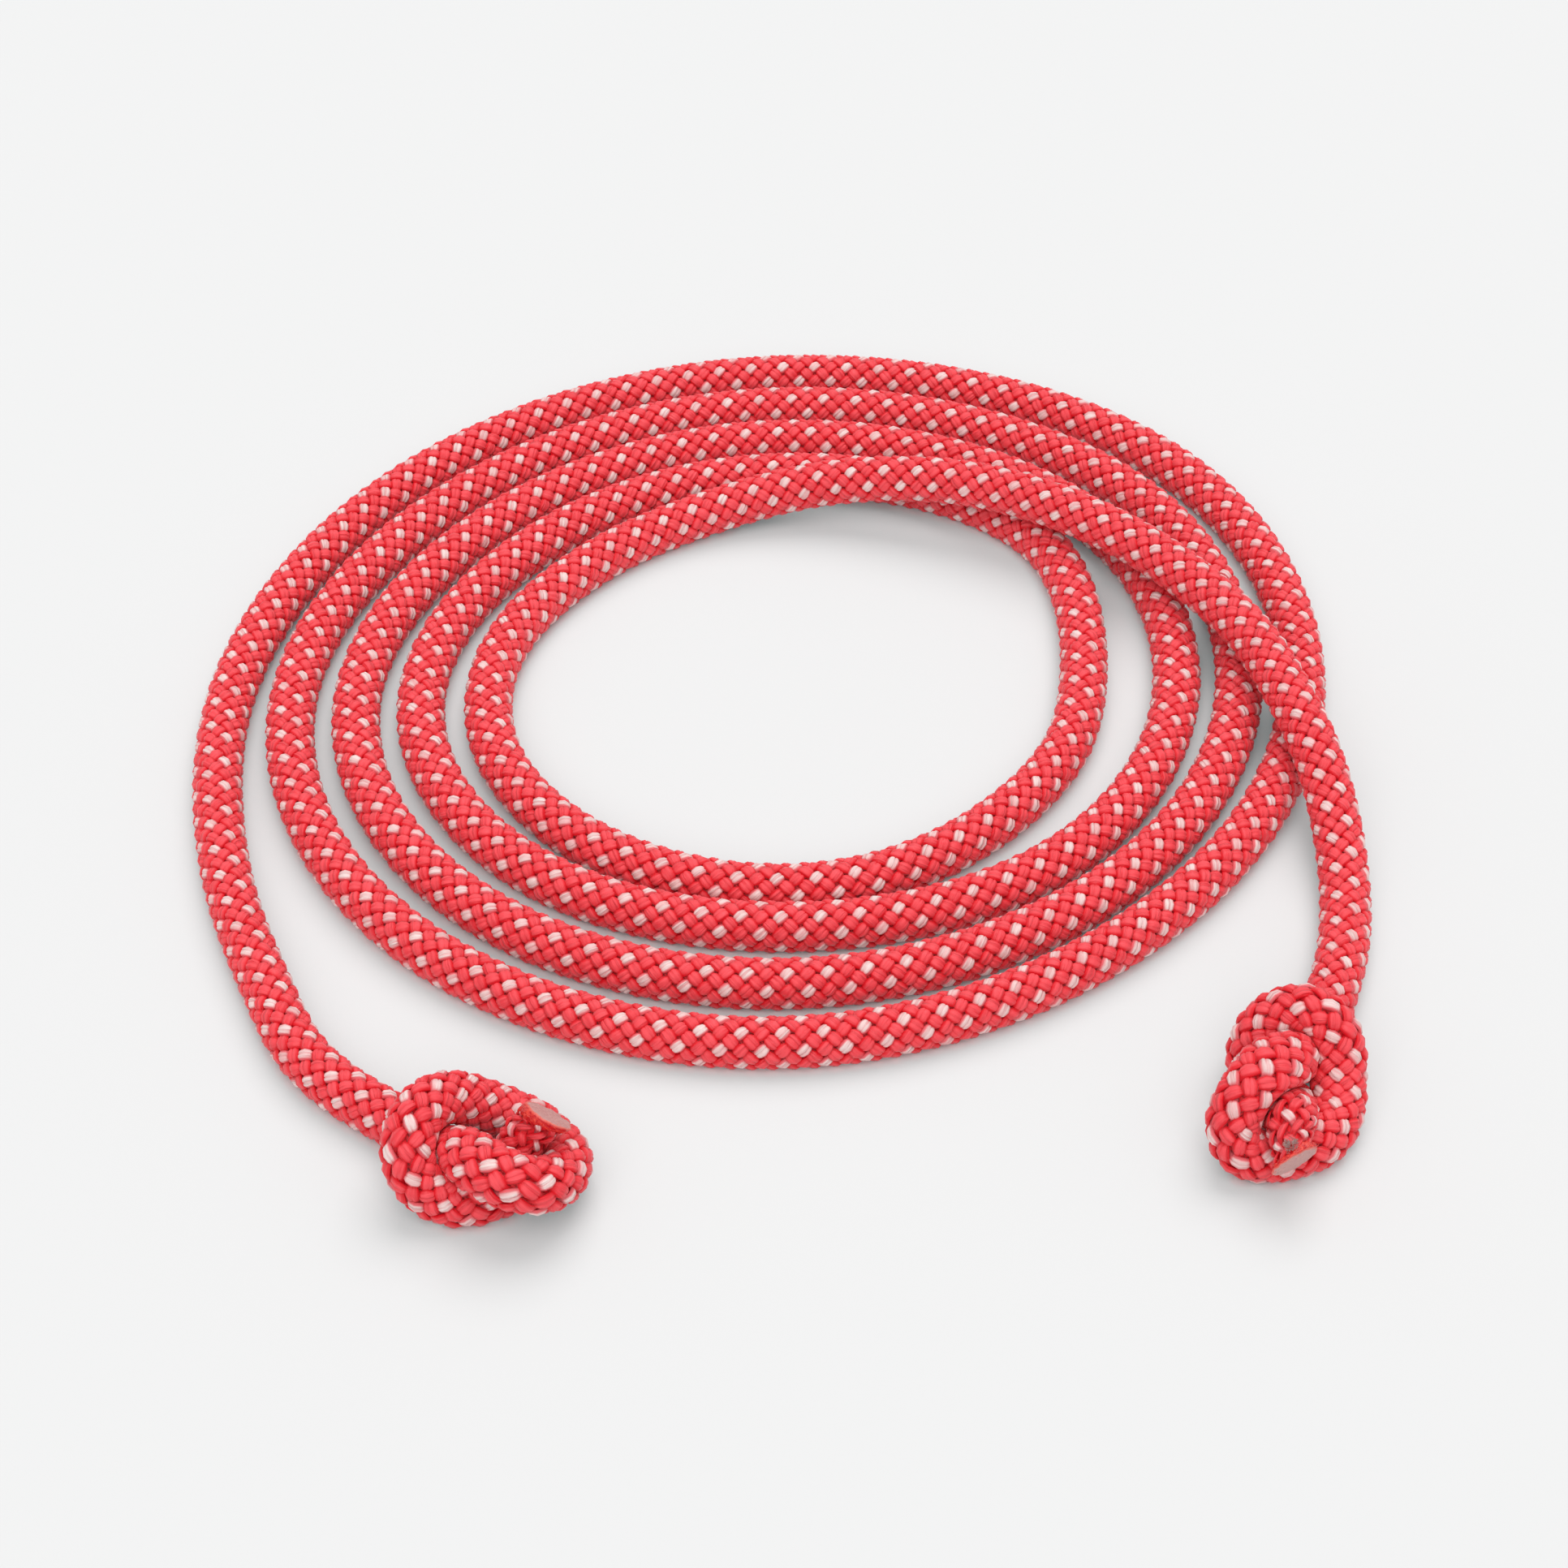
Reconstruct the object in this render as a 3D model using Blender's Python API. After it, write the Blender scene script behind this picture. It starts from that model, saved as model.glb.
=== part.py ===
"""A short dynamic rope lying in a loose flat spiral, with a stopper knot in each end.

All sizes are real ones in millimetres. One smooth curve runs through the whole rope, from
the cut end of the left knot, through the left tail, the coil and the inner end that crosses
over the coil, to the cut end of the right knot. Every stretch of sheath and core is read
from that curve. +Z is up; the rope lies on z = 0 and the origin is under its middle.
"""
import bmesh
import bpy
import numpy as np
from mathutils import Vector

MM = 0.001

# The rope itself
ROPE_DIAMETER = 10.0
SHEATH_WALL = 1.5
FIT_GAP = 0.3            # between sheath and core, and where two stretches meet
KNOT_SQUEEZE = 0.83      # a pulled knot thins the rope to this share of its diameter
SQUEEZE_RUN = 6.0        # length over which the rope thins, at each end of a knot
FLAT_DEPTH = ROPE_DIAMETER / 10
REST_HEIGHT = ROPE_DIAMETER / 2 - FLAT_DEPTH

# The melted cap that seals each cut end
SEAL_THICKNESS = 1.4
SEAL_RIM_WIDTH = 0.9
SEAL_DISH = 0.4          # how far the fused face lies below its melted rim
SEAL_SEGMENTS = 20

# The coil: how far the rope's centre reaches in eight directions, clockwise from the left
# as seen from above, on the first turn, and how much less it reaches on each turn after it.
FIRST_TURN_REACH = (117.0, 118.0, 124.0, 125.0, 108.0, 95.0, 95.5, 99.0)
STEP_PER_TURN = (13.6, 12.7, 13.0, 14.3, 13.3, 12.7, 15.8, 15.0)
DIRECTIONS = len(FIRST_TURN_REACH)
COIL_EIGHTHS = 27        # the coil's length, in eighths of a turn
LOOP_POINTS = 24         # points of the tube in each turn

# Free stretches and knots: points of the rope's centre, as x, y and height above its
# height at rest, from the coil's middle. They are in order along the rope.
LEFT_KNOT = (
    (-43.5, -126.5, 14.0), (-47.0, -127.0, 9.0), (-48.0, -128.3, 4.5), (-49.5, -131.5, 1.0),
    (-53.5, -135.0, 0.0), (-59.5, -136.5, 0.0), (-65.0, -135.5, 3.0), (-67.5, -132.5, 7.5),
    (-67.0, -127.0, 10.5), (-64.5, -121.5, 10.5), (-60.0, -117.0, 7.5), (-54.5, -115.0, 3.0),
    (-48.5, -115.5, 0.0), (-42.5, -120.0, 0.0), (-39.0, -127.5, 2.5), (-41.0, -134.0, 6.0),
    (-46.0, -136.5, 8.5), (-51.5, -135.0, 9.5), (-57.0, -130.5, 7.0), (-62.0, -125.0, 2.0),
    (-67.5, -119.5, 0.0), (-73.0, -115.0, 0.0), (-81.5, -108.5, 0.0),
)
LEFT_TAIL = (
    (-92.0, -96.5, 0.0), (-98.5, -83.0, 0.0), (-108.0, -59.0, 0.0), (-115.0, -30.0, 0.0),
)
INNER_END = (
    (64.0, 34.0, 0.0), (63.5, 12.0, 0.0), (59.0, -9.0, 0.0), (49.0, -26.0, 0.0),
    (35.0, -40.0, 0.0), (17.0, -50.0, 0.0), (-2.0, -53.0, 0.0), (-21.0, -49.5, 0.0),
    (-38.0, -40.5, 0.0), (-52.0, -26.0, 0.0), (-60.5, -8.0, 0.0), (-62.0, 12.0, 0.0),
    (-57.0, 30.5, 0.0), (-46.5, 47.0, 0.0), (-32.0, 61.0, 0.0), (-15.0, 70.0, 1.3),
    (3.5, 74.0, 4.5), (22.5, 73.0, 7.8), (41.5, 68.0, 10.0), (59.5, 59.0, 10.8),
    (75.5, 46.5, 10.8), (88.5, 31.0, 10.8), (98.0, 14.0, 11.0), (104.0, -5.0, 10.9),
    (108.5, -24.0, 8.9), (111.0, -43.0, 3.2), (110.5, -59.5, 0.0),
)
RIGHT_KNOT = (
    (107.5, -75.0, 0.0), (105.0, -83.0, 0.0), (102.0, -92.0, 0.0), (98.0, -100.5, 2.0),
    (93.0, -107.2, 8.3), (87.5, -112.8, 11.0), (83.3, -118.3, 9.5), (81.8, -121.8, 6.0),
    (83.5, -124.3, 2.0), (88.3, -125.3, 0.0), (94.5, -124.3, 0.0), (100.5, -120.0, 0.0),
    (104.0, -114.0, 1.0), (104.8, -108.0, 4.5), (103.5, -103.0, 9.5), (99.5, -99.3, 12.0),
    (94.2, -97.0, 10.8), (89.0, -97.2, 7.0), (86.0, -100.2, 3.0), (86.7, -105.0, 0.0),
    (90.0, -110.5, 0.0), (93.0, -115.0, 3.5), (94.0, -122.0, 9.8), (93.8, -131.0, 8.4),
)

# How finely the solids follow the curve
FINE_STEP = 0.5
TAIL_STEP = 15.0
KNOT_STEP = 3.6
COIL_SIDES_RESOLUTION = 1
TAIL_SIDES_RESOLUTION = 2
KNOT_SIDES_RESOLUTION = 2
LEAST_GAP_ALLOWED = 0.4
NEIGHBOUR_RUN = 1.7      # in diameters: nearer than this along the rope isn't measured

COLOURS = {
    "sheath": (0.78, 0.075, 0.095, 1.0),
    "core": (0.86, 0.78, 0.74, 1.0),
    "seal": (0.74, 0.42, 0.38, 1.0),
}


def clear_scene():
    for item in list(bpy.data.objects):
        bpy.data.objects.remove(item, do_unlink=True)


# ---------------------------------------------------------------- the rope's own curve

def coil_points():
    """The coil's points, an eighth of a turn apart, clockwise from the left."""
    points = []
    for eighth in range(COIL_EIGHTHS + 1):
        turn, direction = divmod(eighth, DIRECTIONS)
        reach = FIRST_TURN_REACH[direction] - STEP_PER_TURN[direction] * turn
        angle = np.pi - 2 * np.pi * direction / DIRECTIONS
        points.append((reach * np.cos(angle), reach * np.sin(angle), 0.0))
    return points


def second_slopes(points, steps):
    """Second slopes of the natural cubic through the points."""
    matrix = np.eye(len(points))
    bends = np.zeros_like(points)
    for i in range(1, len(points) - 1):
        matrix[i, i - 1:i + 2] = (steps[i - 1], 2 * (steps[i - 1] + steps[i]), steps[i])
        ahead = (points[i + 1] - points[i]) / steps[i]
        behind = (points[i] - points[i - 1]) / steps[i - 1]
        bends[i] = 6 * (ahead - behind)
    return np.linalg.solve(matrix, bends)


def smooth_curve(points):
    """Fine points along a smooth curve through the given ones, and which are the given ones."""
    steps = np.linalg.norm(np.diff(points, axis=0), axis=1)
    slopes = second_slopes(points, steps)
    fine = []
    given = []
    for i, step in enumerate(steps):
        given.append(len(fine))
        count = int(np.ceil(step / FINE_STEP))
        for part in np.arange(count) / count:
            rest = 1 - part
            curve = (rest**3 - rest) * slopes[i] + (part**3 - part) * slopes[i + 1]
            fine.append(rest * points[i] + part * points[i + 1] + curve * step**2 / 6)
    given.append(len(fine))
    fine.append(points[-1])
    return np.array(fine), given


class Route:
    """The whole rope's centre line, read by distance from its left cut end."""

    def __init__(self):
        coil = coil_points()
        parts = (LEFT_KNOT, LEFT_TAIL, coil, INNER_END, RIGHT_KNOT)
        points = np.array([point for part in parts for point in part])
        self.line, given = smooth_curve(points)
        self.line[:, 2] = np.maximum(self.line[:, 2], 0.0) + REST_HEIGHT
        runs = np.linalg.norm(np.diff(self.line, axis=0), axis=1)
        self.distance = np.concatenate(([0.0], np.cumsum(runs)))
        self.given = self.distance[given]
        self.length = self.distance[-1]
        counts = np.cumsum([len(part) for part in parts])
        self.left_knot_end = self.given[counts[0] - 1]
        self.coil_start = counts[1]
        self.coil_end = counts[2] - 1
        self.right_knot_start = self.given[counts[3]]
        self.centre()

    def centre(self):
        """Move the rope so that the origin is under the middle of its outline."""
        radii = np.array([self.thinning(d) for d in self.distance]) * ROPE_DIAMETER / 2
        low = (self.line[:, :2] - radii[:, None]).min(axis=0)
        high = (self.line[:, :2] + radii[:, None]).max(axis=0)
        self.line[:, :2] -= (low + high) / 2

    def at(self, distance):
        return np.array([np.interp(distance, self.distance, self.line[:, k]) for k in range(3)])

    def direction(self, distance):
        ahead = self.at(min(distance + FINE_STEP, self.length))
        behind = self.at(max(distance - FINE_STEP, 0.0))
        return (ahead - behind) / np.linalg.norm(ahead - behind)

    def thinning(self, distance):
        """The rope's share of its full diameter: less inside the two knots."""
        left = min(distance, self.left_knot_end - distance)
        right = min(distance - self.right_knot_start, self.length - distance)
        depth = np.clip(max(left, right) / SQUEEZE_RUN, 0.0, 1.0)
        eased = depth * depth * (3 - 2 * depth)
        return 1 - (1 - KNOT_SQUEEZE) * eased

    def coil_distances(self):
        """Where the coil's tube has its points, LOOP_POINTS in each turn."""
        per_eighth = LOOP_POINTS // DIRECTIONS
        marks = np.arange(self.coil_start * per_eighth, self.coil_end * per_eighth + 1) / per_eighth
        return np.interp(marks, np.arange(len(self.given)), self.given)


def least_gap(route):
    """The rope's least clear distance to itself, in millimetres, and where it is."""
    marks = np.arange(0.0, route.length, 2.0)
    places = route.at(marks).T
    radii = np.array([route.thinning(mark) for mark in marks]) * ROPE_DIAMETER / 2
    apart = np.linalg.norm(places[:, None] - places[None], axis=2) - radii[:, None] - radii[None]
    near = np.abs(marks[:, None] - marks[None]) < NEIGHBOUR_RUN * ROPE_DIAMETER
    apart[near] = ROPE_DIAMETER
    first, second = np.unravel_index(apart.argmin(), apart.shape)
    return apart.min(), marks[first], marks[second]


# ---------------------------------------------------------------- tubes along the curve

def straight_end(route, distance, inward):
    """The face point and the next one, a diameter further, both on the curve's tangent."""
    place = route.at(distance)
    along = route.direction(distance) * inward
    return [place + along * FIT_GAP / 2, place + along * ROPE_DIAMETER]


def stretch_points(route, distances, start_straight=True, end_straight=True):
    """Points of one stretch, with a straight diameter at each end that meets another."""
    start, end = distances[0], distances[-1]
    clear = ROPE_DIAMETER * 1.5
    low = start + clear if start_straight else start
    high = end - clear if end_straight else end
    inner = [d for d in distances if low <= d <= high]
    points = [route.at(d) for d in inner]
    thin = [route.thinning(d) for d in inner]
    if start_straight:
        points = straight_end(route, start, 1) + points
        thin = [route.thinning(start), route.thinning(start + ROPE_DIAMETER)] + thin
    if end_straight:
        points = points + straight_end(route, end, -1)[::-1]
        thin = thin + [route.thinning(end - ROPE_DIAMETER), route.thinning(end)]
    return points, thin


def tube_mesh(name, points, radii, resolution, capped):
    """A tube through the points, one radius for each, as a mesh."""
    curve = bpy.data.curves.new(name, "CURVE")
    curve.dimensions = "3D"
    curve.bevel_depth = MM
    curve.bevel_resolution = resolution
    curve.use_fill_caps = capped
    spline = curve.splines.new("POLY")
    spline.points.add(len(points) - 1)
    for point, place, radius in zip(spline.points, points, radii):
        point.co = (*(place * MM), 1.0)
        point.radius = radius
    guide = bpy.data.objects.new(name + "_guide", curve)
    bpy.context.collection.objects.link(guide)
    bpy.context.view_layer.update()
    evaluated = guide.evaluated_get(bpy.context.evaluated_depsgraph_get())
    mesh = bpy.data.meshes.new_from_object(evaluated)
    mesh.name = name
    bpy.data.objects.remove(guide, do_unlink=True)
    weld(mesh)
    return mesh


def weld(mesh):
    """Join the tube's seams and turn its faces outward."""
    shell = bmesh.new()
    shell.from_mesh(mesh)
    bmesh.ops.remove_doubles(shell, verts=shell.verts, dist=0.00001)
    bmesh.ops.recalc_face_normals(shell, faces=shell.faces)
    shell.to_mesh(mesh)
    shell.free()


def add_object(name, mesh, slot):
    material = bpy.data.materials.get(slot) or bpy.data.materials.new(slot)
    material.use_nodes = True
    surface = material.node_tree.nodes["Principled BSDF"]
    surface.inputs["Base Color"].default_value = COLOURS[slot]
    surface.inputs["Roughness"].default_value = 0.6
    mesh.materials.clear()
    mesh.materials.append(material)
    mesh.shade_smooth()
    item = bpy.data.objects.new(name, mesh)
    bpy.context.collection.objects.link(item)
    return item


def floor_cutter(route):
    """A block below z = 0 that cuts the rope flat where it lies."""
    span = (np.ptp(route.line, axis=0) + 4 * ROPE_DIAMETER) * MM
    mesh = bpy.data.meshes.new("floor_cutter")
    block = bmesh.new()
    bmesh.ops.create_cube(block, size=1.0)
    bmesh.ops.scale(block, vec=(span[0], span[1], ROPE_DIAMETER * MM), verts=block.verts)
    bmesh.ops.translate(block, vec=(0, 0, -ROPE_DIAMETER * MM / 2), verts=block.verts)
    block.to_mesh(mesh)
    block.free()
    cutter = bpy.data.objects.new("floor_cutter", mesh)
    bpy.context.collection.objects.link(cutter)
    cutter.hide_render = True
    cutter.display_type = "WIRE"
    return cutter


def add_sheath(name, points, thin, resolution, cutter):
    """The braided sheath: a tube with an open bore, cut flat below."""
    radii = [ROPE_DIAMETER / 2 * share for share in thin]
    item = add_object("sheath_" + name, tube_mesh(name, points, radii, resolution, False), "sheath")
    wall = item.modifiers.new("wall", "SOLIDIFY")
    wall.thickness = SHEATH_WALL * MM
    wall.offset = -1.0
    cut = item.modifiers.new("flat", "BOOLEAN")
    cut.operation = "DIFFERENCE"
    cut.solver = "EXACT"
    cut.object = cutter


def add_core(name, points, thin, resolution):
    """The core inside the sheath's bore."""
    radii = [ROPE_DIAMETER / 2 * share - SHEATH_WALL - FIT_GAP for share in thin]
    add_object("core_" + name, tube_mesh(name, points, radii, resolution, True), "core")


def add_stretch(name, stretch, resolution, cutter):
    points, thin = stretch
    add_sheath(name, points, thin, resolution, cutter)
    add_core(name, points, thin, resolution)


# ---------------------------------------------------------------- the sealed ends

def seal_profile(radius):
    """Half outline of the melted cap, from its axis at the back to its axis in front."""
    return (
        (0.0, 0.0),
        (radius - SEAL_RIM_WIDTH / 3, 0.0),
        (radius, SEAL_THICKNESS / 3),
        (radius - SEAL_RIM_WIDTH / 4, SEAL_THICKNESS),
        (radius - SEAL_RIM_WIDTH, SEAL_THICKNESS - SEAL_DISH),
        (0.0, SEAL_THICKNESS - SEAL_DISH),
    )


def add_seal(name, end, before_end, radius):
    """A melted cap just past the tube's end, turned round the tube's own axis."""
    outward = (end - before_end) / np.linalg.norm(end - before_end)
    mesh = bpy.data.meshes.new(name)
    cap = bmesh.new()
    outline = [cap.verts.new((across * MM, 0.0, along * MM)) for across, along in seal_profile(radius)]
    edges = [cap.edges.new(pair) for pair in zip(outline, outline[1:])]
    bmesh.ops.spin(cap, geom=outline + edges, axis=(0, 0, 1), cent=(0, 0, 0), angle=2 * np.pi,
                   steps=SEAL_SEGMENTS, use_merge=True)
    bmesh.ops.remove_doubles(cap, verts=cap.verts, dist=0.00001)
    bmesh.ops.recalc_face_normals(cap, faces=cap.faces)
    cap.to_mesh(mesh)
    cap.free()
    item = add_object(name, mesh, "seal")
    item.location = Vector((end + outward * FIT_GAP) * MM)
    item.rotation_mode = "QUATERNION"
    item.rotation_quaternion = Vector(outward).to_track_quat("Z", "Y")


# ---------------------------------------------------------------- the whole rope

def even_marks(start, end, step):
    count = int(np.ceil((end - start) / step))
    return list(np.linspace(start, end, count + 1))


def build():
    clear_scene()
    route = Route()
    cutter = floor_cutter(route)
    coil = route.coil_distances()
    left_knot = even_marks(0.0, route.left_knot_end, KNOT_STEP)
    left_tail = even_marks(route.left_knot_end, coil[0], TAIL_STEP)
    inner_end = even_marks(coil[-1], route.right_knot_start, TAIL_STEP)
    right_knot = even_marks(route.right_knot_start, route.length, KNOT_STEP)

    knot, tail = KNOT_SIDES_RESOLUTION, TAIL_SIDES_RESOLUTION
    left = stretch_points(route, left_knot, start_straight=False)
    right = stretch_points(route, right_knot, end_straight=False)
    add_stretch("left_knot", left, knot, cutter)
    add_stretch("left_tail", stretch_points(route, left_tail), tail, cutter)
    add_stretch("coil", stretch_points(route, coil), COIL_SIDES_RESOLUTION, cutter)
    add_stretch("inner_end", stretch_points(route, inner_end), tail, cutter)
    add_stretch("right_knot", right, knot, cutter)
    add_seal("sealed_end_left", left[0][0], left[0][1], ROPE_DIAMETER / 2)
    add_seal("sealed_end_right", right[0][-1], right[0][-2], ROPE_DIAMETER / 2)
    report(route, coil)


def report(route, coil):
    gap, first, second = least_gap(route)
    print(f"rope length {route.length:.1f} mm, coil {coil[-1] - coil[0]:.1f} mm")
    print(f"least gap to itself {gap:.2f} mm, between {first:.0f} mm and {second:.0f} mm along")
    if gap < LEAST_GAP_ALLOWED:
        print("the rope comes too close to itself")
    place = route.at(coil[LOOP_POINTS])
    print("a point on the coil's flat, in metres:", np.round(place * MM, 4))


build()
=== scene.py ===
"""Looks for the braided climbing rope: its twin-ply yarns, fused ends, light and camera.

The rope's route repeats the CAD part's. Some knot points are moved by up to 3.2 mm to draw the
knots tighter, because the soft strands press on each other. Sizes are in millimetres until a
mesh is made.
"""

import bmesh
import bpy
import numpy as np
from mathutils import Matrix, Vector, noise


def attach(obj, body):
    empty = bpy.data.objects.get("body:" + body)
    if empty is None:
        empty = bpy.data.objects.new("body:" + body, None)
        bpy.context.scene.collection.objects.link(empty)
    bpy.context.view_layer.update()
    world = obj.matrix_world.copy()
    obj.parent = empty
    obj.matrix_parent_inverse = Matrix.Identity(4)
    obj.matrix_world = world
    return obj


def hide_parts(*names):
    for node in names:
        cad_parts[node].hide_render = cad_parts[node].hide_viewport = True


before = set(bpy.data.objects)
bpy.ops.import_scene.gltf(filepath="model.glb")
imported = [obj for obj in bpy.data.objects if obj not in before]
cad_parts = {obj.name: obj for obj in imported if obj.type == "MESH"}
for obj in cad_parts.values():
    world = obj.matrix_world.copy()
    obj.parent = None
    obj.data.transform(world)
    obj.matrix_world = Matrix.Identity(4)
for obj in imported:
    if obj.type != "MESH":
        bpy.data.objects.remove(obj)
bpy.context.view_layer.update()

MM = 0.001

# ---------------------------------------------------------------- the rope's route
# All as in the CAD, apart from the points of the two knots.

ROPE_DIAMETER = 10.0
FLAT_DEPTH = ROPE_DIAMETER / 10
REST_HEIGHT = ROPE_DIAMETER / 2 - FLAT_DEPTH
KNOT_SQUEEZE = 0.83
SQUEEZE_RUN = 6.0

FIRST_TURN_REACH = (117.0, 118.0, 124.0, 125.0, 108.0, 95.0, 95.5, 99.0)
STEP_PER_TURN = (13.6, 12.7, 13.0, 14.3, 13.3, 12.7, 15.8, 15.0)
DIRECTIONS = len(FIRST_TURN_REACH)
COIL_EIGHTHS = 27

LEFT_KNOT = (
    (-42.3, -127.2, 13.3), (-46.3, -127.2, 9.0), (-48.0, -128.3, 4.5), (-49.5, -131.0, 1.0),
    (-53.5, -134.0, 0.0), (-59.5, -135.0, 0.0), (-65.0, -134.0, 3.0), (-67.5, -131.5, 7.5),
    (-67.0, -127.0, 10.5), (-64.5, -121.5, 10.5), (-60.0, -117.0, 7.5), (-54.5, -115.0, 3.0),
    (-48.5, -115.5, 0.0), (-43.5, -120.0, 0.0), (-39.8, -127.8, 2.5), (-41.3, -135.0, 5.0),
    (-45.8, -138.5, 7.8), (-51.5, -137.0, 9.0), (-57.0, -131.5, 7.5), (-62.0, -125.0, 2.0),
    (-67.5, -119.5, 0.0), (-73.0, -115.0, 0.0), (-81.5, -108.5, 0.0),
)
LEFT_TAIL = (
    (-92.0, -96.5, 0.0), (-98.5, -83.0, 0.0), (-108.0, -59.0, 0.0), (-115.0, -30.0, 0.0),
)
INNER_END = (
    (64.0, 34.0, 0.0), (63.5, 12.0, 0.0), (59.0, -9.0, 0.0), (49.0, -26.0, 0.0),
    (35.0, -40.0, 0.0), (17.0, -50.0, 0.0), (-2.0, -53.0, 0.0), (-21.0, -49.5, 0.0),
    (-38.0, -40.5, 0.0), (-52.0, -26.0, 0.0), (-60.5, -8.0, 0.0), (-62.0, 12.0, 0.0),
    (-57.0, 30.5, 0.0), (-46.5, 47.0, 0.0), (-32.0, 61.0, 0.0), (-15.0, 70.0, 1.3),
    (3.5, 74.0, 4.5), (22.5, 73.0, 7.8), (41.5, 68.0, 10.0), (59.5, 59.0, 10.8),
    (75.5, 46.5, 10.8), (88.5, 31.0, 10.8), (98.0, 14.0, 11.0), (104.0, -5.0, 10.9),
    (108.5, -24.0, 8.9), (111.0, -43.0, 3.2), (110.5, -59.5, 0.0),
)
RIGHT_KNOT = (
    (107.5, -75.0, 0.0), (105.0, -83.0, 0.0), (102.0, -92.0, 0.0), (98.0, -100.5, 2.0),
    (93.5, -107.6, 8.3), (88.8, -113.6, 11.0), (84.3, -118.8, 9.5), (82.0, -121.8, 6.0),
    (83.5, -124.3, 2.0), (88.3, -124.4, 0.0), (94.3, -123.0, 0.0), (99.5, -119.2, 0.0),
    (102.3, -113.5, 1.0), (102.8, -107.8, 4.5), (102.2, -103.0, 9.5), (99.0, -99.6, 11.6),
    (94.5, -97.8, 10.6), (90.0, -98.2, 7.0), (88.0, -100.8, 3.0), (89.2, -105.2, 0.0),
    (92.4, -110.2, 0.0), (93.0, -116.0, 2.4), (92.2, -123.0, 7.4), (91.7, -131.7, 6.6),
)
FINE_STEP = 0.5
TINY = 1e-12               # keeps a straight run from dividing by zero


def coil_points():
    """The coil's points, an eighth of a turn apart, clockwise from the left."""
    points = []
    for eighth in range(COIL_EIGHTHS + 1):
        turn, direction = divmod(eighth, DIRECTIONS)
        reach = FIRST_TURN_REACH[direction] - STEP_PER_TURN[direction] * turn
        angle = np.pi - 2 * np.pi * direction / DIRECTIONS
        points.append((reach * np.cos(angle), reach * np.sin(angle), 0.0))
    return points


def second_slopes(points, steps):
    """Second slopes of the natural cubic through the points."""
    matrix = np.eye(len(points))
    bends = np.zeros_like(points)
    for i in range(1, len(points) - 1):
        matrix[i, i - 1:i + 2] = (steps[i - 1], 2 * (steps[i - 1] + steps[i]), steps[i])
        ahead = (points[i + 1] - points[i]) / steps[i]
        behind = (points[i] - points[i - 1]) / steps[i - 1]
        bends[i] = 6 * (ahead - behind)
    return np.linalg.solve(matrix, bends)


def smooth_curve(points):
    """Fine points along a smooth curve through the given ones, and which are the given ones."""
    steps = np.linalg.norm(np.diff(points, axis=0), axis=1)
    slopes = second_slopes(points, steps)
    fine = []
    given = []
    for i, step in enumerate(steps):
        given.append(len(fine))
        count = int(np.ceil(step / FINE_STEP))
        for part in np.arange(count) / count:
            rest = 1 - part
            curve = (rest**3 - rest) * slopes[i] + (part**3 - part) * slopes[i + 1]
            fine.append(rest * points[i] + part * points[i + 1] + curve * step**2 / 6)
    given.append(len(fine))
    fine.append(points[-1])
    return np.array(fine), given


def unit(vectors):
    return vectors / np.linalg.norm(vectors, axis=-1, keepdims=True)


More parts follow.
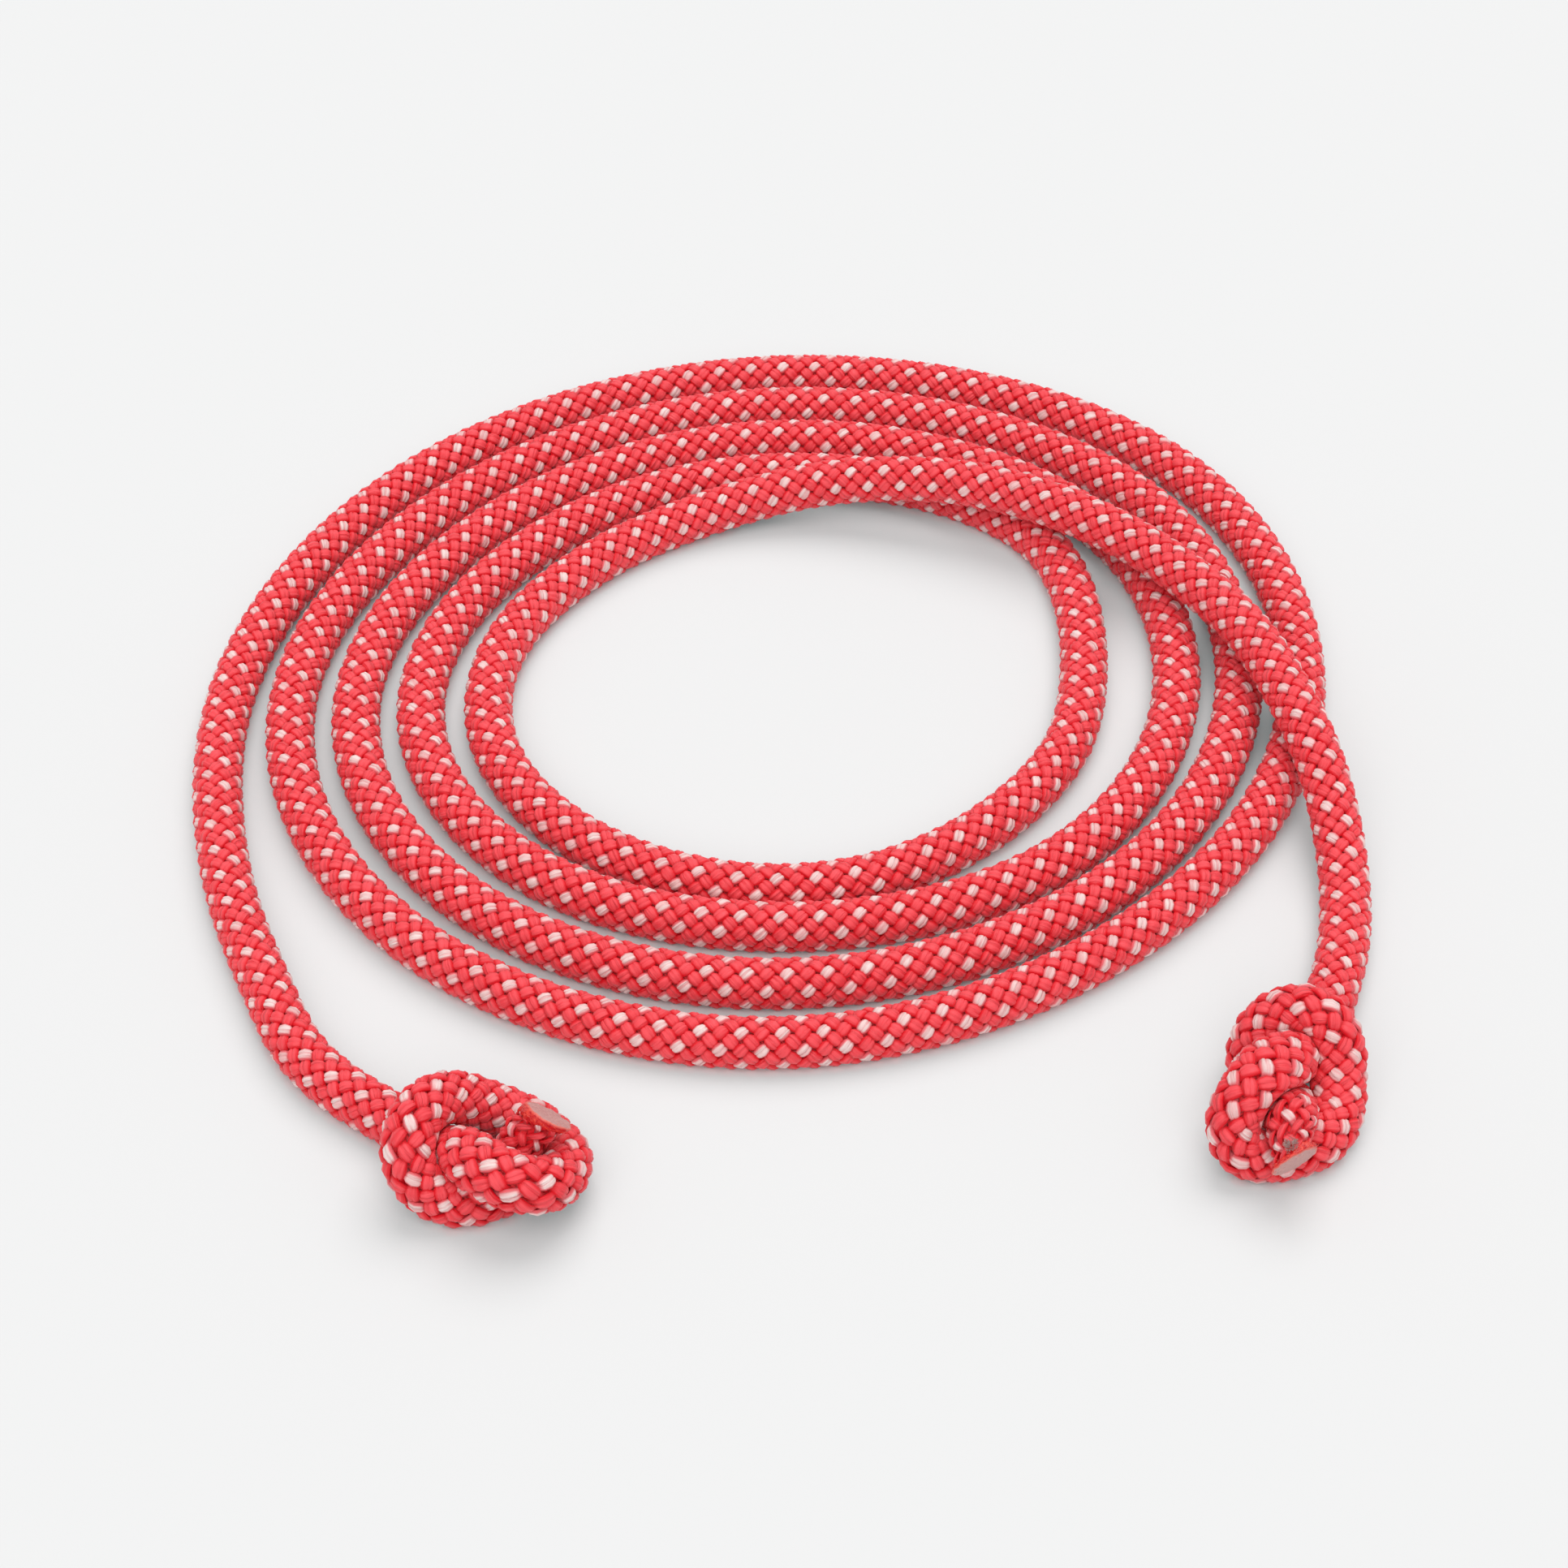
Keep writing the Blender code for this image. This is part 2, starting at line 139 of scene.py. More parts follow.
class Rope:
    """The rope's centre line, with directions across it that don't twist along it."""

    def __init__(self):
        coil = coil_points()
        parts = (LEFT_KNOT, LEFT_TAIL, coil, INNER_END, RIGHT_KNOT)
        points = np.array([point for part in parts for point in part])
        self.line, given = smooth_curve(points)
        self.line[:, 2] = np.maximum(self.line[:, 2], 0.0) + REST_HEIGHT
        runs = np.linalg.norm(np.diff(self.line, axis=0), axis=1)
        self.distance = np.concatenate(([0.0], np.cumsum(runs)))
        self.length = self.distance[-1]
        given = self.distance[given]
        counts = np.cumsum([len(part) for part in parts])
        self.left_knot_end = given[counts[0] - 1]
        self.coil_start = given[counts[1]]
        self.coil_end = given[counts[2] - 1]
        self.right_knot_start = given[counts[3]]
        self.left_knot_marks = given[:counts[0]]
        self.right_knot_marks = given[counts[3]:]
        radii = self.thinning(self.distance) * ROPE_DIAMETER / 2
        low = (self.line[:, :2] - radii[:, None]).min(axis=0)
        high = (self.line[:, :2] + radii[:, None]).max(axis=0)
        self.middle = (low + high) / 2
        self.line[:, :2] -= self.middle
        self.side = self.untwisted_sides()

    def thinning(self, distance):
        """The CAD rope's share of its full diameter: less inside the two knots."""
        left = np.minimum(distance, self.left_knot_end - distance)
        right = np.minimum(distance - self.right_knot_start, self.length - distance)
        depth = np.clip(np.maximum(left, right) / SQUEEZE_RUN, 0.0, 1.0)
        return 1 - (1 - KNOT_SQUEEZE) * depth * depth * (3 - 2 * depth)

    def untwisted_sides(self):
        """A direction across the rope at each fine point, mirrored twice from one to the next."""
        along = unit(np.gradient(self.line, self.distance, axis=0))
        side = np.cross(along[0], (0.0, 0.0, 1.0))
        sides = [side / np.linalg.norm(side)]
        for i in range(len(along) - 1):
            step = self.line[i + 1] - self.line[i]
            size = step @ step
            mirrored = sides[-1] - 2 / size * (step @ sides[-1]) * step
            ahead = along[i] - 2 / size * (step @ along[i]) * step
            turn = along[i + 1] - ahead
            size = max(turn @ turn, TINY)
            sides.append(mirrored - 2 / size * (turn @ mirrored) * turn)
        return np.array(sides)

    def read(self, table, marks):
        """The rows of a table over the fine points, at distances along the rope."""
        return np.stack([np.interp(marks, self.distance, table[:, k]) for k in range(3)], axis=-1)

    def at(self, marks):
        return self.read(self.line, np.asarray(marks))

    def frames(self, marks):
        """Centre, and the two directions across the rope, at each mark."""
        ahead = self.at(np.minimum(marks + FINE_STEP, self.length))
        behind = self.at(np.maximum(marks - FINE_STEP, 0.0))
        along = unit(ahead - behind)
        side = self.read(self.side, marks)
        side = unit(side - (side * along).sum(-1, keepdims=True) * along)
        return self.at(marks), side, np.cross(along, side)


rope = Rope()

# ---------------------------------------------------------------- the camera

CAMERA_BACK = 557.5        # from the coil's middle, towards the viewer
CAMERA_HEIGHT = 476.5
CAMERA_TILT = 48.6         # degrees from straight down
LENS = 80.0
SENSOR = 36.0
CLIP_START = 0.01          # metres


def add_camera():
    data = bpy.data.cameras.new("camera")
    data.lens = LENS
    data.sensor_width = SENSOR
    data.clip_start = CLIP_START
    camera = bpy.data.objects.new("camera", data)
    bpy.context.scene.collection.objects.link(camera)
    place = (-rope.middle[0], -CAMERA_BACK - rope.middle[1], CAMERA_HEIGHT)
    camera.location = Vector(place) * MM
    camera.rotation_euler = (np.radians(CAMERA_TILT), 0.0, 0.0)
    bpy.context.scene.camera = camera


add_camera()

# ---------------------------------------------------------------- the braid

LEAD = 30.52               # length in which a yarn goes once round the rope
CARRIERS = 8               # yarns of each hand
CROSSING = LEAD / (2 * CARRIERS)
PERIOD = 2 * CROSSING      # from one float of a yarn to its next
WEAVE_RADIUS = 4.02        # of the yarns' mid-height round the rope
WEAVE_RISE = 0.52          # how far a yarn rises over and sinks under the crossing ones
YARN_THICKNESS = 1.2
# A yarn's rings from one float's middle to the next one's, as angles of its wave, how high each
# lies, and how wide: nearly level on top, then steeply and narrower under the crossing yarn
FLOAT_PHASES = (-90.0, -58.0, 0.0, 58.0, 90.0, 180.0)
FLOAT_RISES = (-0.2, 0.66, 1.14, 0.66, -0.2, -1.0)
FLOAT_WIDTHS = (1.95, 2.52, 2.80, 2.52, 1.95, 2.1)
WHITE_NARROWING = 0.93     # the white yarns are a little narrower
# Across and up, in half widths and half thicknesses: two flattened plies, with a crease between
TWIN_PLY = (
    (-1.0, -0.35), (-0.87, 0.34), (-0.54, 0.86), (-0.2, 0.98), (0.0, 0.74), (0.2, 0.98),
    (0.54, 0.86), (0.87, 0.34), (1.0, -0.35), (0.0, -0.8),
)
CREASE = 4                 # which of those points lies in the crease
CREASE_WANDER = 0.5        # how far the crease moves across a float by chance, in half widths
PLUMP_WIDTH = 0.1          # how much a float's width varies by chance
PLUMP_THICKNESS = 0.12
CHANCE_SEED = 20
START_TURN = np.radians(51.0)   # where the first yarns start round the rope
YARN_ANGLE = np.arctan(2 * np.pi * (WEAVE_RADIUS + WEAVE_RISE) / LEAD)
CROSSING_SLANT = 1 / np.tan(2 * YARN_ANGLE)   # a yarn dives along the crossing yarn's edge
RING_CLEARANCE = 0.05      # no ring lies nearer than this to a stretch's end
# The share of a float left without painted shade: painted shade darkens a float's ends, where the
# yarn goes under, and its sides, up the profile.
TOP_FROM, TOP_RUN = 0.1, 0.7       # from which rise a float counts as shown, and over what run
CREST_FROM, CREST_RUN = 0.4, 0.5   # the same up the yarn's profile


def yarn_rises(hand, marks):
    """How high a yarn of this hand lies at each mark, 1 on top and -1 underneath; its width."""
    first = 0.0 if hand > 0 else 180.0
    phase = (marks / CROSSING * 180.0 - first - FLOAT_PHASES[0]) % 360.0 + FLOAT_PHASES[0]
    phases = FLOAT_PHASES + (360.0 + FLOAT_PHASES[0],)
    return (np.interp(phase, phases, FLOAT_RISES + FLOAT_RISES[:1]),
            np.interp(phase, phases, FLOAT_WIDTHS + FLOAT_WIDTHS[:1]))


def yarn_marks(hand):
    """Distances along the rope where a yarn of this hand has its rings."""
    first = 0.0 if hand > 0 else CROSSING
    tops = first + PERIOD * np.arange(int(rope.length / PERIOD) + 3) - PERIOD
    marks = (tops[:, None] + np.array(FLOAT_PHASES) / 360 * PERIOD).ravel()
    return np.sort(marks)


def under_marks(hand):
    """Distances along the rope where a yarn of this hand lies under a crossing one."""
    first = CROSSING if hand > 0 else 0.0
    return first + PERIOD * np.arange(int(rope.length / PERIOD) + 2)


def stretch_marks(hand, start, end):
    """The rings between the places where the yarns are hidden, nearest to start and end."""
    hidden = under_marks(hand)
    low = 0.0 if start <= 0 else hidden[np.abs(hidden - start).argmin()]
    high = rope.length if end >= rope.length else hidden[np.abs(hidden - end).argmin()]
    marks = yarn_marks(hand)
    inner = marks[(marks > low + RING_CLEARANCE) & (marks < high - RING_CLEARANCE)]
    return np.concatenate(([low], inner, [high]))


# Places in the knots where the rope lies flat and wide: how much wider, and over what run
KNOT_SPREADS = (
    (rope.left_knot_marks[7], 0.04, 12.0),
    (rope.left_knot_marks[17], 0.14, 12.0),
    (rope.right_knot_marks[5], 0.28, 9.0),
    (rope.right_knot_marks[13], 0.08, 12.0),
    (rope.right_knot_marks[20], 0.5, 7.0),
)
FLOOR_SOFTNESS = 0.5       # height under which the rope flattens on the floor
STRAND_STEP = 1.0
OWN_STRAND = 14.0          # nearer than this along the rope, it is no other strand
CONTACT_REACH = 13.0       # strands whose centres are further apart don't press
CONTACT_SOFTNESS = 0.03
LEAST_REACH = 1.0          # a point that reaches less towards the other strand isn't pressed
NO_LIMIT = 2.0             # of a point's share, where nothing presses on it
LEAST_SHARE = 0.4          # of its way out from the centre that a pressed point keeps
CUT_RUN = 12.0             # length over which the braid slants and narrows to a cut end

strand_marks = np.arange(0.0, rope.length, STRAND_STEP)
strand_line = rope.at(strand_marks)


class CutEnd:
    """A cut end: its middle, the way the rope points there, and the slanting cut's direction."""

    def __init__(self, mark, inward, normal, narrowing, face_radius):
        self.mark = mark
        self.narrowing = narrowing
        self.face_radius = face_radius
        self.middle = rope.at([mark])[0]
        self.axis = unit(self.middle - rope.at([mark + inward])[0])
        self.normal = unit(np.array(normal))


cut_ends = (
    CutEnd(0.0, 2.0, (0.45, 0.49, 0.74), 0.27, 3.9),
    CutEnd(rope.length, -2.0, (0.49, -0.81, -0.32), 0.28, 4.0),
)


def smooth_step(share):
    share = np.clip(share, 0.0, 1.0)
    return share * share * (3 - 2 * share)


def slant_to_cuts(offsets, marks):
    """Narrow the rope towards its cut ends and slant it to the cuts."""
    for end in cut_ends:
        share = smooth_step(1 - np.abs(marks - end.mark) / CUT_RUN)[:, None, None]
        offsets = offsets * (1 - end.narrowing * share)
        slide = (offsets @ end.normal) / (end.axis @ end.normal)
        offsets = offsets - share * slide[..., None] * end.axis
    return offsets


def press_on_strands(offsets, centre, marks):
    """Keep each ring to its own side of the other strands that it touches."""
    for i, mark in enumerate(marks):
        towards = strand_line[np.abs(strand_marks - mark) > OWN_STRAND] - centre[i]
        distance = np.linalg.norm(towards, axis=1)
        close = distance < CONTACT_REACH
        if not close.any():
            continue
        reach = offsets[..., i, :, :] @ (towards[close] / distance[close, None]).T
        midway = distance[close] / 2 / np.maximum(reach, LEAST_REACH)
        limit = np.where(reach > LEAST_REACH, midway, NO_LIMIT).min(-1)
        share = 1 - CONTACT_SOFTNESS * np.logaddexp(0.0, (1 - limit) / CONTACT_SOFTNESS)
        offsets[..., i, :, :] *= np.maximum(share, LEAST_SHARE)[..., None]
    return offsets


def pressed(points, marks):
    """Rings (…, mark, point, xyz) spread in the knots and flattened by strands and floor."""
    centre, side, other = rope.frames(marks)
    level = unit(np.cross((0.0, 0.0, 1.0), np.cross(side, other)))[:, None]
    offsets = points - centre[:, None]
    wider = sum(more * np.exp(-((marks - mark) / run)**2) for mark, more, run in KNOT_SPREADS)
    offsets = offsets + (wider[:, None] * (offsets * level).sum(-1))[..., None] * level
    offsets = press_on_strands(offsets, centre, marks)
    points = centre[:, None] + slant_to_cuts(offsets, marks)
    low = points[..., 2] < FLOOR_SOFTNESS
    flat = FLOOR_SOFTNESS * np.exp((points[..., 2] - FLOOR_SOFTNESS) / FLOOR_SOFTNESS)
    points[..., 2] = np.where(low, flat, points[..., 2])
    return points


def float_chances(hand, marks, kinds):
    """Random numbers from 0 to 1, the same for all the rings of one float: (kind, yarn, mark)."""
    number = np.rint((marks / CROSSING - (hand < 0)) / 2).astype(int) + 2
    floats = int(rope.length / CROSSING)
    table = np.random.default_rng(CHANCE_SEED + hand).random((kinds, CARRIERS, floats))
    return table[:, :, number]


def yarn_rings(hand, marks):
    """Ring points of all the yarns of one hand: (yarn, mark, profile point, xyz)."""
    centre, side, other = rope.frames(marks)
    index = np.arange(CARRIERS)[:, None]
    turn = START_TURN + hand * 2 * np.pi * marks[None] / LEAD + 2 * np.pi * index / CARRIERS
    rise, width = yarn_rises(hand, marks)
    height = WEAVE_RADIUS + WEAVE_RISE * rise
    outward = np.cos(turn)[..., None] * side + np.sin(turn)[..., None] * other
    middle = centre + outward * height[None, :, None]
    along = unit(np.gradient(middle, axis=1))
    across = unit(np.cross(along, outward))
    up = np.cross(across, along)
    across = across - hand * CROSSING_SLANT * along
    profile = np.array(TWIN_PLY)
    plump, crease = float_chances(hand, marks, 2) - 0.5
    width = width * (1 + PLUMP_WIDTH * plump)
    if hand < 0:
        width[::2] *= WHITE_NARROWING
    place = np.tile(profile[:, 0], plump.shape + (1,))
    place[:, :, CREASE - 1:CREASE + 2] += (CREASE_WANDER * crease * (rise > 0))[:, :, None]
    sideways = across[:, :, None] * (width[:, :, None] * place / 2)[..., None]
    thickness = YARN_THICKNESS * (1 + PLUMP_THICKNESS * plump)
    upward = up[:, :, None] * (thickness[:, :, None] * profile[:, 1] / 2)[..., None]
    return pressed(middle[:, :, None] + sideways + upward, marks), rise


def tube_faces(rings, around):
    """Quads of one tube of that many rings."""
    ring = np.arange(rings - 1)[:, None] * around
    point = np.arange(around)[None]
    after = (point + 1) % around
    return np.stack([ring + point, ring + after, ring + around + after, ring + around + point],
                    axis=-1).reshape(-1, 4)


def mesh_from(name, points, quads, caps=()):
    """A mesh in metres from millimetre points, quads and a few larger faces."""
    mesh = bpy.data.meshes.new(name)
    mesh.vertices.add(len(points))
    mesh.vertices.foreach_set("co", (points * MM).astype(np.float32).ravel())
    corners = np.concatenate([quads.ravel(), *[np.array(cap) for cap in caps]]).astype(np.int32)
    totals = np.array([4] * len(quads) + [len(cap) for cap in caps])
    mesh.loops.add(len(corners))
    mesh.loops.foreach_set("vertex_index", corners)
    mesh.polygons.add(len(totals))
    mesh.polygons.foreach_set("loop_start", (np.cumsum(totals) - totals).astype(np.int32))
    mesh.update(calc_edges=True)
    mesh.shade_smooth()
    return mesh


def add_piece(name, mesh, materials, stands_for=()):
    """A visible piece that rides the part's one body."""
    for material in materials:
        mesh.materials.append(material)
    piece = bpy.data.objects.new(name, mesh)
    bpy.context.scene.collection.objects.link(piece)
    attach(piece, "root")
    if stands_for:
        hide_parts(*stands_for)
    return piece


def set_values(mesh, name, values):
    attribute = mesh.attributes.new(name, "FLOAT", "POINT")
    attribute.data.foreach_set("value", np.asarray(values, np.float32).ravel())


def is_white(hand, yarn):
    """All yarns of one hand are red; those of the other are white and red in turn."""
    return hand < 0 and yarn % 2 == 0


def add_braid(name, start, end, stands_for):
    """All the yarns of one stretch of the sheath."""
    points, quads, caps, white, cap_white = [], [], [], [], []
    # height carries each point's share left without painted shade; along, across and float place
    # the fibre streaks and each float's own tone.
    values = {"height": [], "across": [], "along": [], "float": []}
    profile = np.array(TWIN_PLY)
    around = len(profile)
    ring = np.arange(around)
    offset = 0
    for hand in (1, -1):
        marks = stretch_marks(hand, start, end)
        rings, rise = yarn_rings(hand, marks)
        faces = tube_faces(len(marks), around)
        shades = float_chances(hand, marks, 3)[2]
        # Painted shade: darker towards a float's edges and where the yarn dives under a crossing
        # one.
        unshaded_share = np.clip((rise[:, None] - TOP_FROM) / TOP_RUN, 0, 1)
        unshaded_share = unshaded_share * np.clip((profile[:, 1] - CREST_FROM) / CREST_RUN, 0, 1)
        for yarn in range(CARRIERS):
            shape = rings[yarn].reshape(-1, 3)
            points.append(shape)
            quads.append(faces + offset)
            caps.append(list(offset + ring)[::-1])
            caps.append(list(offset + (len(marks) - 1) * around + ring))
            white.append(np.full(len(faces), is_white(hand, yarn)))
            cap_white.append(np.full(2, is_white(hand, yarn)))
            values["height"].append(unshaded_share.ravel())
            values["across"].append(np.tile(profile[:, 0], len(marks)))
            values["along"].append(np.repeat(marks / np.cos(YARN_ANGLE), around))
            values["float"].append(np.repeat(shades[yarn], around))
            offset += len(shape)
    mesh = mesh_from(name, np.concatenate(points), np.concatenate(quads), caps)
    chosen = np.concatenate(white + cap_white).astype(np.int32)
    mesh.polygons.foreach_set("material_index", chosen)
    for attribute, parts in values.items():
        set_values(mesh, attribute, np.concatenate(parts))
    return add_piece(name, mesh, [red_yarn, white_yarn], stands_for)


# ---------------------------------------------------------------- materials

class Nodes:
    """Short ways to add nodes to a material, a world or a group."""

    def __init__(self, tree):
        self.tree = tree

    def put(self, value, socket):
        """Link an output to the socket, or set a colour or a number there."""
        if isinstance(value, bpy.types.NodeSocket):
            self.tree.links.new(value, socket)
        else:
            socket.default_value = (*value, 1.0) if isinstance(value, tuple) else value

    def fill(self, node, **values):
        """Fill a node's inputs by name, with an underscore for each space."""
        for name, value in values.items():
            self.put(value, node.inputs[name.replace("_", " ")])
        return node

    def add(self, kind, **values):
        return self.fill(self.tree.nodes.new(kind), **values)

    def attribute(self, name):
        node = self.add("ShaderNodeAttribute")
        node.attribute_name = name
        return node.outputs["Fac"]

    def noise(self, place, **values):
        return self.add("ShaderNodeTexNoise", Vector=place, **values).outputs["Fac"]

    def math(self, kind, *values):
        node = self.add("ShaderNodeMath")
        node.operation = kind
        for socket, value in zip(node.inputs, values):
            self.put(value, socket)
        return node.outputs[0]

    def spread(self, value, low, high, to_low=0.0, to_high=1.0):
        """The value with its run from low to high stretched from to_low to to_high."""
        return self.add("ShaderNodeMapRange", Value=value, From_Min=low, From_Max=high,
                        To_Min=to_low, To_Max=to_high).outputs[0]

    def blend(self, low, high, factor):
        """A colour between two others."""
        node = self.add("ShaderNodeMix")
        node.data_type = "RGBA"
        return self.fill(node, A=low, B=high, Factor=factor).outputs["Result"]


def new_material(name):
    material = bpy.data.materials.new(name)
    material.use_nodes = True
    tree = material.node_tree
    return material, Nodes(tree), tree.nodes["Principled BSDF"]


FLOAT_APART = 50.0         # moves the noise from one float to the next, so that each has its own
FIBRE_NOISE = {"across": 6.0, "along": 0.45, "detail": 3.0}
BUNDLE_NOISE = {"across": 2.2, "along": 0.2, "detail": 0.0}
FIBRE_BUMP = 0.0003        # metres
TINT_REACH = 0.0018        # metres; the yarns tint each other, and hardly the floor further off
FAR_TINT = (0.66, 0.50, 0.50)


def yarn_fibres_group():
    """Node group: fine fibres that run along a yarn, and painted shade where a place lies low in
    the braid.
    """
    group = bpy.data.node_groups.new("yarn_fibres", "ShaderNodeTree")
    # The first colour is the yarn's own; the second is a painted shade colour, for a float's
    # edges, the grooves between bundles and where the yarn goes under.
    for name, way, kind in (("Light", "INPUT", "Color"), ("Deep", "INPUT", "Color"),
                            ("Color", "OUTPUT", "Color"), ("Fibre", "OUTPUT", "Float")):
        group.interface.new_socket(name, in_out=way, socket_type="NodeSocket" + kind)
    nodes = Nodes(group)
    start, end = nodes.add("NodeGroupInput"), nodes.add("NodeGroupOutput")

    def streaks(across, along, detail):
        """Noise drawn out along the yarn, other on each float."""
        place = nodes.add("ShaderNodeCombineXYZ",
                          X=nodes.math("MULTIPLY", nodes.attribute("across"), across),
                          Y=nodes.math("MULTIPLY", nodes.attribute("along"), along),
                          Z=nodes.math("MULTIPLY", nodes.attribute("float"), FLOAT_APART))
        return nodes.noise(place.outputs[0], Scale=1.0, Detail=detail, Roughness=0.7)

    fibres = streaks(**FIBRE_NOISE)
    # The bundles darken their grooves with painted shade; the fibre streaks and each float's
    # random factor vary the yarn's own tone.
    bundles = nodes.spread(streaks(**BUNDLE_NOISE), 0.32, 0.5)
    shades = (nodes.math("MULTIPLY_ADD", bundles, 0.3, 0.7),
              nodes.spread(fibres, 0.3, 0.7, 0.68, 1.12),
              nodes.spread(nodes.attribute("float"), 0.0, 1.0, 0.8, 1.05))
    unshaded_share = nodes.spread(nodes.attribute("height"), 0.15, 0.8)
    for shade in shades:
        unshaded_share = nodes.math("MULTIPLY", unshaded_share, shade)
    relief = nodes.math("MULTIPLY_ADD", bundles, 0.6, nodes.math("MULTIPLY", fibres, 0.7))
    # From the painted shade colour to the yarn's own colour, by the share left unshaded.
    colour = nodes.blend(start.outputs["Deep"], start.outputs["Light"], unshaded_share)
    nodes.fill(end, Color=colour, Fibre=relief)
    return group


def tinted(nodes, colour):
    """The colour, but FAR_TINT on what faces down, as it lights things further off."""
    path = nodes.add("ShaderNodeLightPath")
    far = nodes.math("GREATER_THAN", path.outputs["Ray Length"], TINT_REACH)
    cast = nodes.math("MULTIPLY", far, path.outputs["Is Diffuse Ray"])
    place = nodes.add("ShaderNodeNewGeometry")
    facing = nodes.add("ShaderNodeSeparateXYZ", Vector=place.outputs["Normal"])
    below = nodes.spread(facing.outputs["Z"], 0.2, 0.6, 1.0, 0.0)
    return nodes.blend(colour, FAR_TINT, nodes.math("MULTIPLY", cast, below))


def yarn_material(name, light, shade_colour, sheen):
    """Shiny fibres in the yarn's own colour, with painted shade at its edges and where it goes
    under.
    """
    material, nodes, surface = new_material(name)
    group = nodes.add("ShaderNodeGroup")
    group.node_tree = fibres_group
    nodes.fill(group, Light=light, Deep=shade_colour)
    fibre = group.outputs["Fibre"]
    bump = nodes.add("ShaderNodeBump", Strength=0.8, Distance=FIBRE_BUMP, Height=fibre)
    nodes.fill(surface, Base_Color=tinted(nodes, group.outputs["Color"]),
               Normal=bump.outputs["Normal"], Roughness=nodes.spread(fibre, 0.0, 1.0, 0.3, 0.55),
               Specular_IOR_Level=0.5, Sheen_Weight=sheen, Sheen_Roughness=0.4)
    return material


fibres_group = yarn_fibres_group()
# Each yarn's own colour, then its painted shade colour, which is red for the white yarn as well.
red_yarn = yarn_material("red_yarn", (1.0, 0.078, 0.098), (0.78, 0.001, 0.012), 0.12)
white_yarn = yarn_material("white_yarn", (0.92, 0.73, 0.70), (0.80, 0.12, 0.14), 0.08)


def plain_material(name, light, dark, scale):
    """A matte material with soft mottling."""
    material, nodes, surface = new_material(name)
    place = nodes.add("ShaderNodeTexCoord").outputs["Object"]
    mottle = nodes.noise(place, Scale=scale)
    nodes.fill(surface, Base_Color=nodes.blend(dark, light, mottle), Roughness=0.6)
    return material


lining_red = plain_material("sheath_lining_red", (0.95, 0.006, 0.02), (0.80, 0.003, 0.012), 900.0)
core_white = plain_material("core_white", (0.85, 0.80, 0.75), (0.70, 0.64, 0.60), 600.0)
fuzz_red = plain_material("loose_fibre_red", (0.95, 0.30, 0.26), (0.85, 0.06, 0.06), 900.0)
fuzz_grey = plain_material("loose_fibre_grey", (0.74, 0.64, 0.60), (0.36, 0.24, 0.22), 900.0)

MELT_BUMP = 0.0006         # metres


def fused_material():
    """Melted rope ends: a pale speckled face of fused fibres, and an orange-red glossy skin."""
    material, nodes, surface = new_material("fused_sheath")
    place = nodes.add("ShaderNodeTexCoord").outputs["Object"]
    speckle = nodes.noise(place, Scale=2600.0, Detail=2.0)
    clouds = nodes.noise(place, Scale=420.0, Detail=3.0)
    grains = nodes.noise(place, Scale=1100.0, Detail=3.0)
    melt = nodes.attribute("melt")
    face = nodes.blend((0.48, 0.20, 0.19), (0.67, 0.38, 0.35), nodes.spread(speckle, 0.3, 0.7))
    face = nodes.blend(face, (0.57, 0.31, 0.29), nodes.spread(clouds, 0.4, 0.7))
    skin = nodes.blend((0.58, 0.002, 0.010), (0.97, 0.08, 0.05), nodes.spread(grains, 0.4, 0.7))
    rim = nodes.blend(face, (0.88, 0.15, 0.11), nodes.spread(melt, 0.15, 0.5))
    lumps = nodes.math("MULTIPLY", grains, nodes.spread(melt, 0.3, 1.0, 0.2, 1.0))
    bump = nodes.add("ShaderNodeBump", Strength=0.9, Distance=MELT_BUMP, Height=lumps)
    nodes.fill(surface, Base_Color=nodes.blend(rim, skin, nodes.spread(melt, 0.6, 0.9)),
               Roughness=nodes.spread(melt, 0.0, 1.0, 0.55, 0.25), Normal=bump.outputs["Normal"])
    return material


fused_sheath = fused_material()

# ---------------------------------------------------------------- the pieces

LINING_RADIUS = 3.7
LINING_STEP = 1.5          # between its rings
LINING_SIDES = 14
CORE_RADIUS = 3.2
CORE_STEP = 2.0
CORE_SIDES = 12


def add_tube(name, radius, sides, step, material, stands_for):
    """A closed round tube along the whole rope, and its ring centres."""
    marks = np.linspace(0.0, rope.length, int(rope.length / step) + 1)
    centre, side, other = rope.frames(marks)
    turn = 2 * np.pi * np.arange(sides) / sides
    outward = (np.cos(turn)[:, None] * side[:, None] + np.sin(turn)[:, None] * other[:, None])
    points = pressed(centre[:, None] + radius * outward, marks).reshape(-1, 3)
    caps = [list(np.arange(sides))[::-1], list((len(marks) - 1) * sides + np.arange(sides))]
    mesh = mesh_from(name, points, tube_faces(len(marks), sides), caps)
    return add_piece(name, mesh, [material], stands_for), centre


lining, lining_line = add_tube("sheath_lining", LINING_RADIUS, LINING_SIDES, LINING_STEP,
                               lining_red, ())
core, _ = add_tube("core_bundle", CORE_RADIUS, CORE_SIDES, CORE_STEP, core_white,
                   [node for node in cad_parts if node.startswith("core_")])

STRETCHES = (
    ("left_knot", 0.0, rope.left_knot_end, 1),
    ("left_tail", rope.left_knot_end, rope.coil_start, 1),
    ("coil", rope.coil_start, rope.coil_end, 6),
    ("inner_end", rope.coil_end, rope.right_knot_start, 2),
    ("right_knot", rope.right_knot_start, rope.length, 1),
)
for stretch, start, end, count in STRETCHES:
    bounds = np.linspace(start, end, count + 1)
    for number, (low, high) in enumerate(zip(bounds, bounds[1:]), 1):
        name = f"braid_{stretch}_{number}" if count > 1 else f"braid_{stretch}"
        add_braid(name, low, high, ["sheath_" + stretch])

